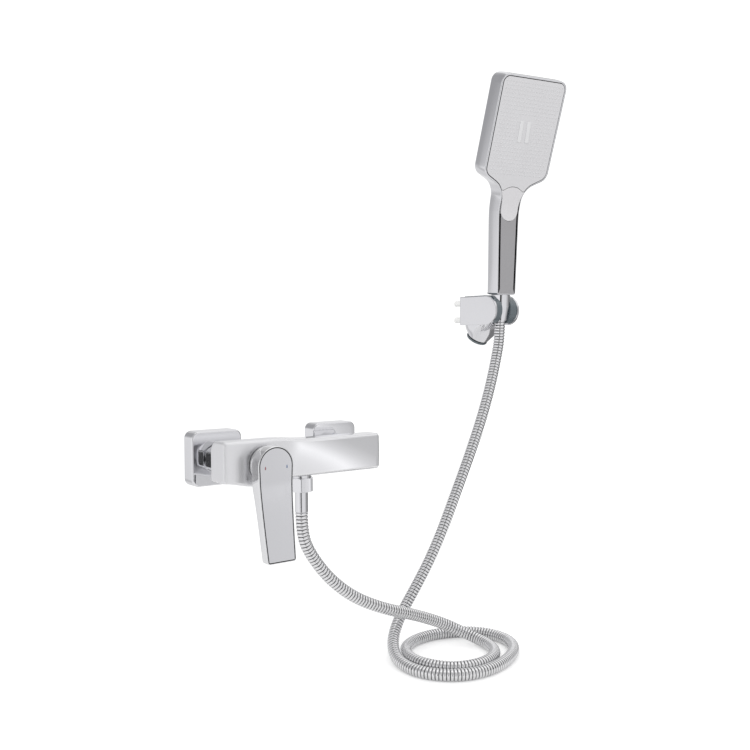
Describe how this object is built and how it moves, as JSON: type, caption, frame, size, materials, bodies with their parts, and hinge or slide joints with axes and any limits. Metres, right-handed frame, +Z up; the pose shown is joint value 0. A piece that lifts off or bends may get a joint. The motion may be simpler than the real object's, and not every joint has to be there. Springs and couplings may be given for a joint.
{
  "type": "shower mixer",
  "caption": "Wall-mounted single-lever shower mixer with a ribbed metal hose, a square hand shower with a spray button and a wall bracket that holds it.",
  "frame": {"origin": "on the wall surface, midway between the axes of the two wall connectors", "axes": "+X to the right along the wall as the user faces it, +Y into the wall, +Z up"},
  "size_m": [0.4566, 0.2193, 0.6835],
  "materials": {
    "chrome_cast": "polished",
    "chrome_lever": "polished",
    "chrome_lever_plate": "satin",
    "chrome_pressed": "polished",
    "chrome_turned": "polished",
    "chrome_thread": "satin",
    "brass_plain": "satin",
    "hose_metal": "polished",
    "hose_inner": "matte",
    "seal_rubber": "matte",
    "disc_ceramic": "polished",
    "cartridge_plastic": "satin",
    "steel": "satin",
    "mark_red": "gloss",
    "mark_blue": "gloss",
    "shell_chrome": "polished",
    "face_grey": "gloss",
    "nozzle_rubber": "matte",
    "jet_plastic": "gloss",
    "button_chrome": "satin",
    "grip_grey": "satin",
    "white_plastic": "satin",
    "bracket_chrome": "polished",
    "bracket_dark": "gloss",
    "plug_grey": "matte"
  },
  "bodies": {
    "fixed": {"mixer_body": "chrome_cast", "cartridge_base": "cartridge_plastic", "cartridge_seals": "seal_rubber", "fixed_disc": "disc_ceramic", "cartridge_housing": "cartridge_plastic", "cartridge_nut": "brass_plain", "cover_dome": "chrome_turned", "eccentric_union_left": "chrome_thread", "eccentric_union_right": "chrome_thread", "rosette_left": "chrome_pressed", "rosette_right": "chrome_pressed", "union_washer_left": "seal_rubber", "union_washer_right": "seal_rubber", "inlet_nipple_left": "brass_plain", "inlet_nipple_right": "brass_plain", "union_nut_left": "chrome_turned", "union_nut_right": "chrome_turned", "outlet_nipple": "chrome_thread", "check_valve": "cartridge_plastic", "hose_washer_mixer": "seal_rubber", "hose_nut": "chrome_turned", "hose_tail_lower": "brass_plain", "ferrule_lower": "chrome_turned", "shower_hose": "hose_metal", "hose_liner": "hose_inner", "bracket_wall_plate": "plug_grey", "bracket_screws": "steel", "bracket_anchors": "plug_grey", "bracket_housing": "bracket_chrome", "bracket_liner": "bracket_dark"},
    "lever_base": {"cartridge_rotor": "cartridge_plastic", "pivot_pin": "steel"},
    "lever": {"cartridge_stem": "steel", "lever_handle": "chrome_lever", "lever_plate": "chrome_lever_plate", "hot_mark": "mark_red", "cold_mark": "mark_blue", "grub_screw": "steel"},
    "valve_discs": {"disc_carrier": "cartridge_plastic", "moving_disc": "disc_ceramic"},
    "hose_end": {"ferrule_upper": "chrome_turned", "hose_tail_upper": "brass_plain", "hose_washer_handset": "seal_rubber"},
    "hand_shower": {"cone_nut": "chrome_turned", "handset_back_shell": "shell_chrome", "face_plate": "face_grey", "nozzle_mat": "nozzle_rubber", "middle_jets": "jet_plastic", "spray_chamber": "white_plastic", "grip_panel": "grip_grey", "water_tube": "white_plastic", "thread_spigot": "white_plastic", "flow_strainer": "white_plastic", "mode_valve": "white_plastic", "button_spring": "steel"},
    "spray_button": {"mode_button": "button_chrome"}
  },
  "joints": [
    {"name": "lever_swing", "type": "hinge", "parent": "fixed", "child": "lever_base", "pos_m": [-0.05, -0.0708, 0.0055], "axis": [0, 1, 0], "range_deg": [-45, 45]},
    {"name": "lever_lift", "type": "hinge", "parent": "lever_base", "child": "lever", "pos_m": [-0.05, -0.0708, 0.0055], "axis": [-1, 0, 0], "range_deg": [0, 18]},
    {"name": "disc_slide", "type": "slide", "parent": "lever_base", "child": "valve_discs", "axis": [0, 0, -1], "range_m": [0, 0.0018]},
    {"name": "handset_lift", "type": "slide", "parent": "fixed", "child": "hose_end", "axis": [-0.012, -0.0501, 0.9987], "range_m": [0, 0.03]},
    {"name": "handset_turn", "type": "hinge", "parent": "hose_end", "child": "hand_shower", "pos_m": [0.3079, -0.054, 0.1887], "axis": [-0.012, -0.0501, 0.9987], "range_deg": [-75, 75]},
    {"name": "spray_button_push", "type": "slide", "parent": "hand_shower", "child": "spray_button", "axis": [0.1547, 0.9235, 0.3509], "range_m": [0, 0.0025], "stiffness_N_per_m": 1500, "springref_m": -0.001, "deforming": ["button_spring"]}
  ],
  "couplings": [
    {"joint": "disc_slide", "follows": "lever_lift", "m_per_rad": 0.00551}
  ]
}
